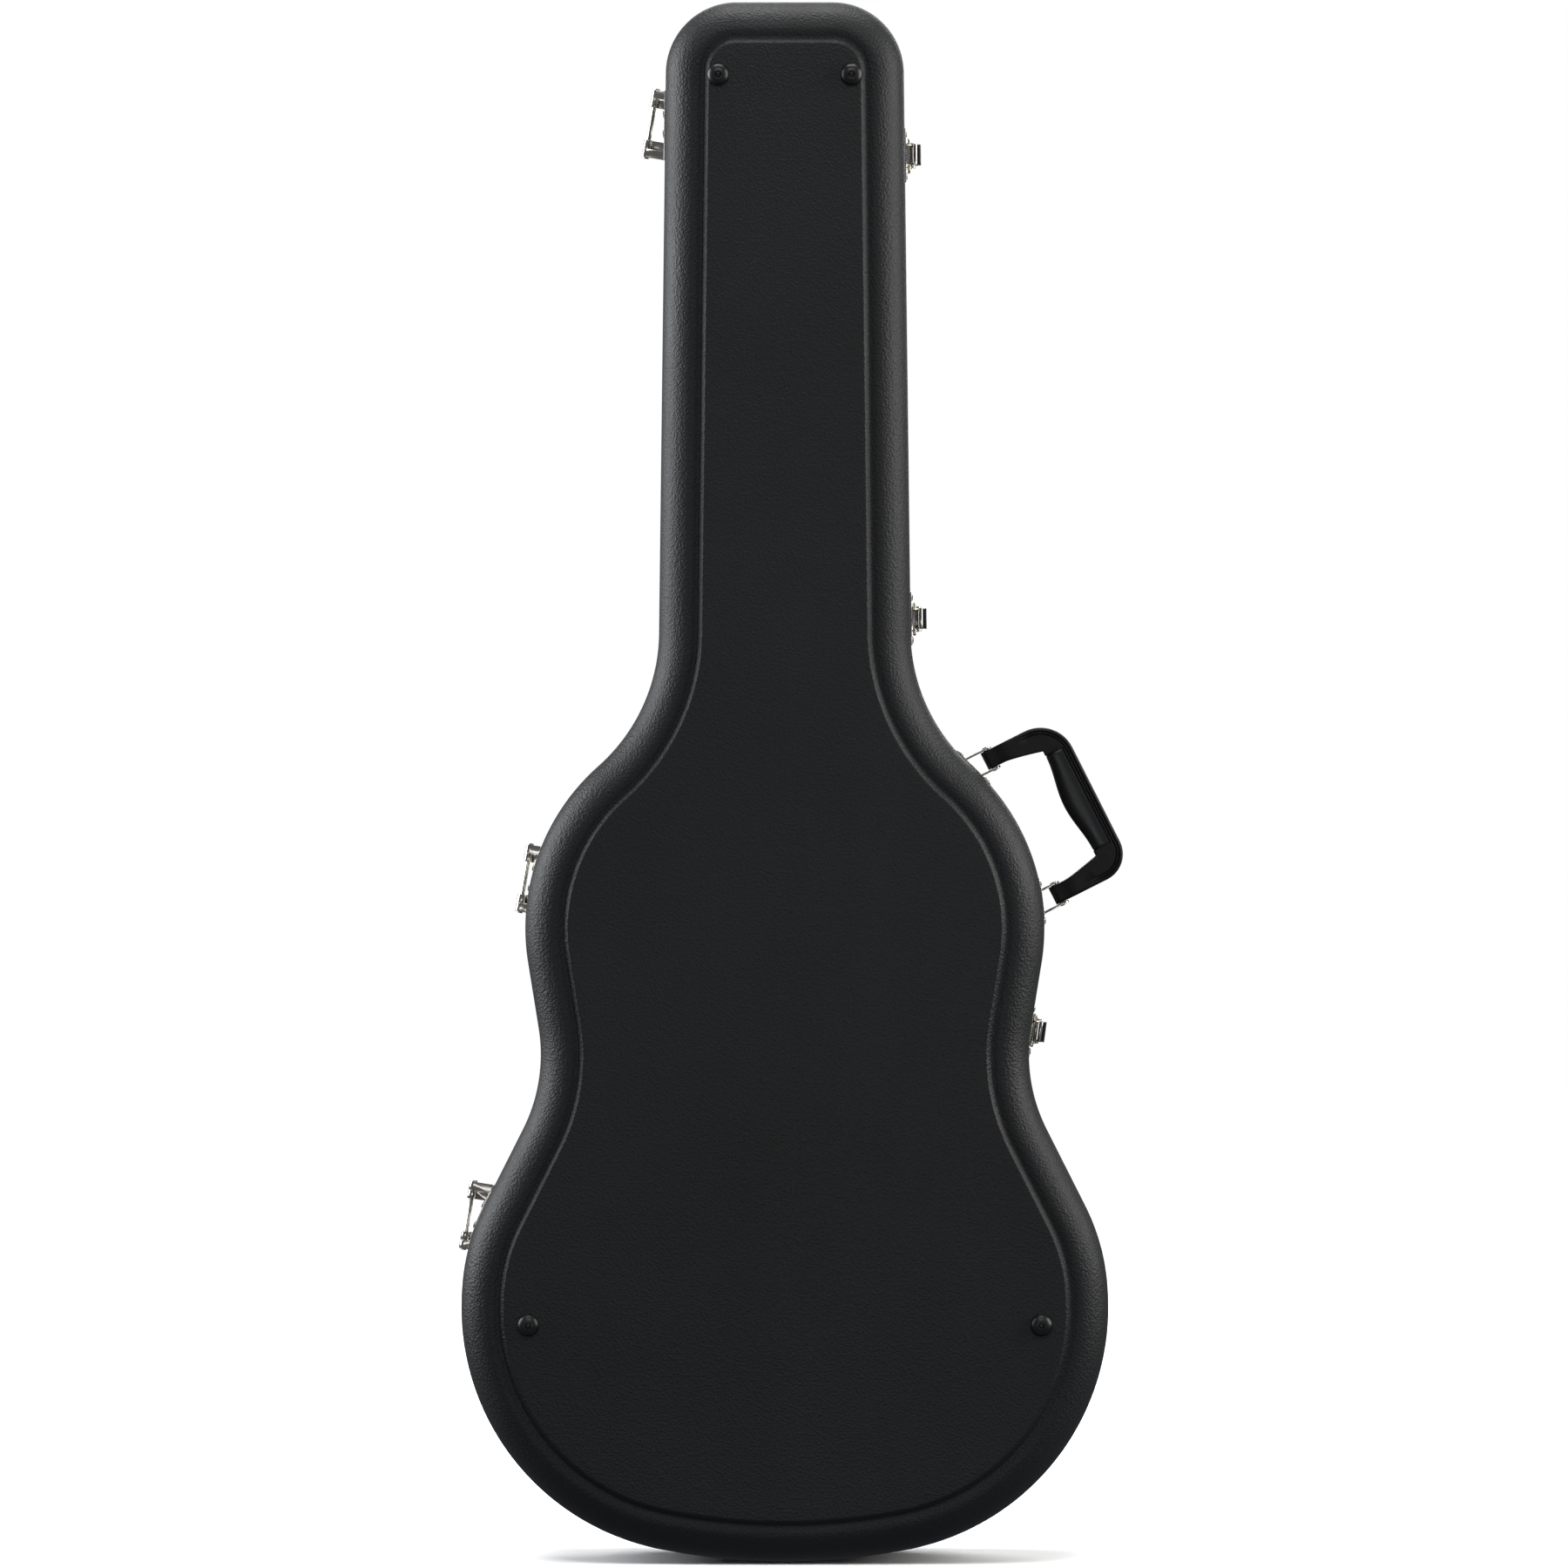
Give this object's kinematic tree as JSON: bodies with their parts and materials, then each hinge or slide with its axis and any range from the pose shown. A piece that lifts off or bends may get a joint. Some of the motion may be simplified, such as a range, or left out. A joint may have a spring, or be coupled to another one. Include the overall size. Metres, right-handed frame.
{
  "type": "guitar case",
  "caption": "Hard case for an acoustic guitar: two moulded shells with metal rims, hinges, draw latches, folding handle, feet and padded inside.",
  "frame": {"origin": "middle of the box's underside: the lowest point of the case standing on its lower bout, on its middle line", "axes": "+Z along the case towards the head, +Y towards the lid, -Y the back with the feet, +X the side of the handle and latches"},
  "size_m": [0.4678, 0.156, 1.09],
  "materials": {
    "shell": "pebbled, satin",
    "rim": "satin black",
    "plush": "short pile",
    "ribbon": "ribbed",
    "handle": "fine grain",
    "grip": "soft satin",
    "rubber": "satin",
    "steel": "zinc plated",
    "latch_plastic": "semi gloss",
    "chrome": "polished"
  },
  "bodies": {
    "base": {"base_shell": "shell", "base_rim": "rim", "base_panel_pad": "plush", "base_side_pad": "plush", "neck_cradle": "plush", "accessory_box": "plush", "hinge_rivets_base": "chrome", "latch_rivets_base": "chrome", "handle_bracket_upper": "chrome", "handle_bracket_lower": "chrome", "handle_pin_upper": "chrome", "handle_pin_lower": "chrome", "handle_rivets": "chrome", "handle_backing_upper": "steel", "handle_backing_lower": "steel", "feet": "rubber", "foot_rivets": "rim", "hinge_1_base_leaf": "chrome", "hinge_1_pin": "chrome", "latch_1_plate": "chrome", "latch_1_lever_pin": "chrome", "hinge_2_base_leaf": "chrome", "hinge_2_pin": "chrome", "latch_2_plate": "chrome", "latch_2_lever_pin": "chrome", "hinge_3_base_leaf": "chrome", "hinge_3_pin": "chrome", "latch_3_plate": "chrome", "latch_3_lever_pin": "chrome"},
    "lid": {"lid_shell": "shell", "lid_rim": "rim", "lid_panel_pad": "plush", "lid_side_pad": "plush", "hinge_rivets_lid": "chrome", "latch_rivets_lid": "chrome", "hinge_1_lid_leaf": "chrome", "latch_1_keeper": "chrome", "hinge_2_lid_leaf": "chrome", "latch_2_keeper": "chrome", "hinge_3_lid_leaf": "chrome", "latch_3_keeper": "chrome"},
    "lever_1": {"latch_1_lever": "chrome", "latch_1_thumb_pad": "latch_plastic"},
    "bail_1": {"latch_1_bail": "chrome"},
    "lever_2": {"latch_2_lever": "chrome", "latch_2_thumb_pad": "latch_plastic"},
    "bail_2": {"latch_2_bail": "chrome"},
    "lever_3": {"latch_3_lever": "chrome", "latch_3_thumb_pad": "latch_plastic"},
    "bail_3": {"latch_3_bail": "chrome"},
    "handle": {"handle_frame": "handle", "handle_grip": "grip"},
    "flap": {"accessory_flap": "plush", "flap_tab": "ribbon"}
  },
  "joints": [
    {"name": "lid_hinge", "type": "hinge", "parent": "base", "child": "lid", "pos_m": [-0.2233, 0.02615, 0.239], "axis": [0.165, 0, 0.9863], "range_deg": [0, 110]},
    {"name": "latch_1_lever", "type": "hinge", "parent": "base", "child": "lever_1", "pos_m": [0.17713, 0.0205, 0.36932], "axis": [0.1351, 0, 0.9908], "range_deg": [0, 120]},
    {"name": "latch_1_bail", "type": "hinge", "parent": "lever_1", "child": "bail_1", "pos_m": [0.17554, 0.014, 0.36954], "axis": [0.1351, 0, 0.9908], "range_deg": [-150, 0]},
    {"name": "latch_2_lever", "type": "hinge", "parent": "base", "child": "lever_2", "pos_m": [0.0932, 0.0205, 0.66006], "axis": [-0.0121, 0, 0.9999], "range_deg": [0, 120]},
    {"name": "latch_2_bail", "type": "hinge", "parent": "lever_2", "child": "bail_2", "pos_m": [0.0916, 0.014, 0.66004], "axis": [-0.0121, 0, 0.9999], "range_deg": [-150, 0]},
    {"name": "latch_3_lever", "type": "hinge", "parent": "base", "child": "lever_3", "pos_m": [0.08925, 0.0205, 0.98706], "axis": [-0.0121, 0, 0.9999], "range_deg": [0, 120]},
    {"name": "latch_3_bail", "type": "hinge", "parent": "lever_3", "child": "bail_3", "pos_m": [0.08765, 0.014, 0.98704], "axis": [-0.0121, 0, 0.9999], "range_deg": [-150, 0]},
    {"name": "handle_fold", "type": "hinge", "parent": "base", "child": "handle", "pos_m": [0.1683, -0.009, 0.5138], "axis": [-0.4509, 0, 0.8926], "range_deg": [-75, 75]},
    {"name": "flap_hinge", "type": "hinge", "parent": "base", "child": "flap", "pos_m": [-0.0365, -0.016, 0.72], "axis": [0, 0, 1], "range_deg": [0, 95]}
  ],
  "couplings": [
    {"joint": "latch_1_bail", "follows": "latch_1_lever", "ratio": -1.25},
    {"joint": "latch_2_bail", "follows": "latch_2_lever", "ratio": -1.25},
    {"joint": "latch_3_bail", "follows": "latch_3_lever", "ratio": -1.25}
  ]
}
